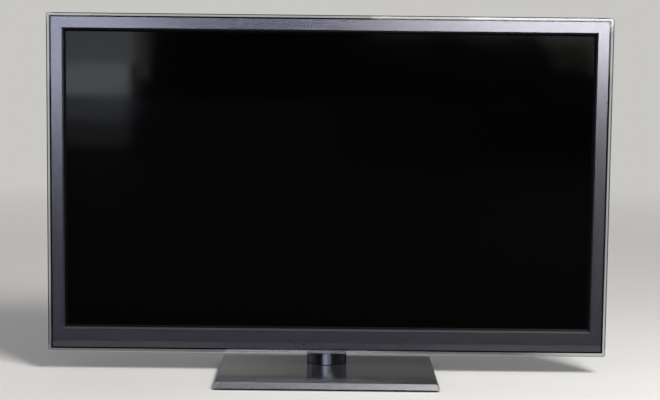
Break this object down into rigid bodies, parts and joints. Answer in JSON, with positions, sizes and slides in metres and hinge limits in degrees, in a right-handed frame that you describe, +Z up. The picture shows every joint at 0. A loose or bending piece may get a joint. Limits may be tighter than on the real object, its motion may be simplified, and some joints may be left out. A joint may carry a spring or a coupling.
{
  "type": "flat screen tv",
  "caption": "Flat screen set with a black glass front, brushed metallic bezel, clear outer rim and a swivelling round neck on a thin rectangular glossy base.",
  "frame": {"origin": "on the table, at the centre of the base's footprint", "axes": "+X to the viewer's right, +Y away from the viewer, +Z up; the screen faces -Y"},
  "size_m": [1.184, 0.292, 0.758],
  "materials": {
    "graphite_metallic": "brushed, semi-gloss",
    "clear_plastic": "clear polished edge",
    "black_gloss": "piano black",
    "black_plastic": "fine matt moulding",
    "screen_glass": "dark mirror gloss",
    "display_glass": "grey coated glass",
    "foam": "closed-cell foam",
    "heat_pad": "grey silicone sheet",
    "chassis_aluminium": "mill finish",
    "plated_steel": "zinc plated",
    "cover_paint": "matt black paint on pressed steel",
    "circuit_board": "green solder mask",
    "ribbon_film": "amber film",
    "socket_metal": "nickel plated shell",
    "socket_plastic": "black connector body",
    "screw_steel": "blackened steel",
    "bush_nylon": "natural nylon",
    "deck_gloss": "dark polished deck with a bright bevel",
    "foot_rubber": "black rubber pad",
    "window_lens": "dark clear lens"
  },
  "bodies": {
    "base": {"base_deck": "deck_gloss", "base_frame": "plated_steel", "base_feet": "foot_rubber", "base_screws": "screw_steel", "swivel_spindle": "plated_steel", "thrust_washer": "bush_nylon", "spindle_nut": "plated_steel"},
    "screen_unit": {"front_bezel": "graphite_metallic", "clear_rim": "clear_plastic", "inner_frame": "black_gloss", "screen_glass": "screen_glass", "glass_gasket": "foam", "display_front_plate": "display_glass", "display_rear_plate": "display_glass", "heat_sheet": "heat_pad", "chassis_plate": "chassis_aluminium", "panel_straps": "plated_steel", "mount_rails": "plated_steel", "wall_mount_bushes": "plated_steel", "power_board": "circuit_board", "sustain_board": "circuit_board", "scan_board": "circuit_board", "scan_buffer_board": "circuit_board", "main_board": "circuit_board", "logic_board": "circuit_board", "data_boards": "circuit_board", "data_ribbons": "ribbon_film", "heat_sinks": "chassis_aluminium", "left_speaker_box": "black_plastic", "right_speaker_box": "black_plastic", "left_speaker_driver": "black_plastic", "right_speaker_driver": "black_plastic", "sensor_window": "window_lens", "sensor_board": "circuit_board", "rear_cover": "cover_paint", "cover_screws": "screw_steel", "terminal_plates": "plated_steel", "video_sockets": "socket_metal", "data_sockets": "socket_metal", "card_slot": "socket_metal", "network_socket": "socket_metal", "aerial_socket": "socket_metal", "av_sockets": "socket_plastic", "power_inlet": "socket_plastic", "stand_holder": "plated_steel", "neck_bracket": "plated_steel", "bracket_screws": "screw_steel", "foot_bolts": "screw_steel", "neck_pole": "plated_steel", "neck_sleeve": "black_gloss", "neck_cover": "black_gloss", "swivel_bush": "bush_nylon", "key_board": "circuit_board"},
    "power_key": {"power_key": "black_plastic"},
    "input_key": {"input_key": "black_plastic"},
    "menu_key": {"menu_key": "black_plastic"},
    "volume_down_key": {"volume_down_key": "black_plastic"},
    "volume_up_key": {"volume_up_key": "black_plastic"},
    "channel_down_key": {"channel_down_key": "black_plastic"},
    "channel_up_key": {"channel_up_key": "black_plastic"}
  },
  "joints": [
    {"name": "swivel", "type": "hinge", "parent": "base", "child": "screen_unit", "pos_m": [0, 0.079, 0.03], "axis": [0, 0, 1], "range_deg": [-10, 10]},
    {"name": "power_key_press", "type": "slide", "parent": "screen_unit", "child": "power_key", "axis": [1, 0, 0], "range_m": [0, 0.0008], "stiffness_N_per_m": 600},
    {"name": "input_key_press", "type": "slide", "parent": "screen_unit", "child": "input_key", "axis": [1, 0, 0], "range_m": [0, 0.0008], "stiffness_N_per_m": 600},
    {"name": "menu_key_press", "type": "slide", "parent": "screen_unit", "child": "menu_key", "axis": [1, 0, 0], "range_m": [0, 0.0008], "stiffness_N_per_m": 600},
    {"name": "volume_down_key_press", "type": "slide", "parent": "screen_unit", "child": "volume_down_key", "axis": [1, 0, 0], "range_m": [0, 0.0008], "stiffness_N_per_m": 600},
    {"name": "volume_up_key_press", "type": "slide", "parent": "screen_unit", "child": "volume_up_key", "axis": [1, 0, 0], "range_m": [0, 0.0008], "stiffness_N_per_m": 600},
    {"name": "channel_down_key_press", "type": "slide", "parent": "screen_unit", "child": "channel_down_key", "axis": [1, 0, 0], "range_m": [0, 0.0008], "stiffness_N_per_m": 600},
    {"name": "channel_up_key_press", "type": "slide", "parent": "screen_unit", "child": "channel_up_key", "axis": [1, 0, 0], "range_m": [0, 0.0008], "stiffness_N_per_m": 600}
  ]
}
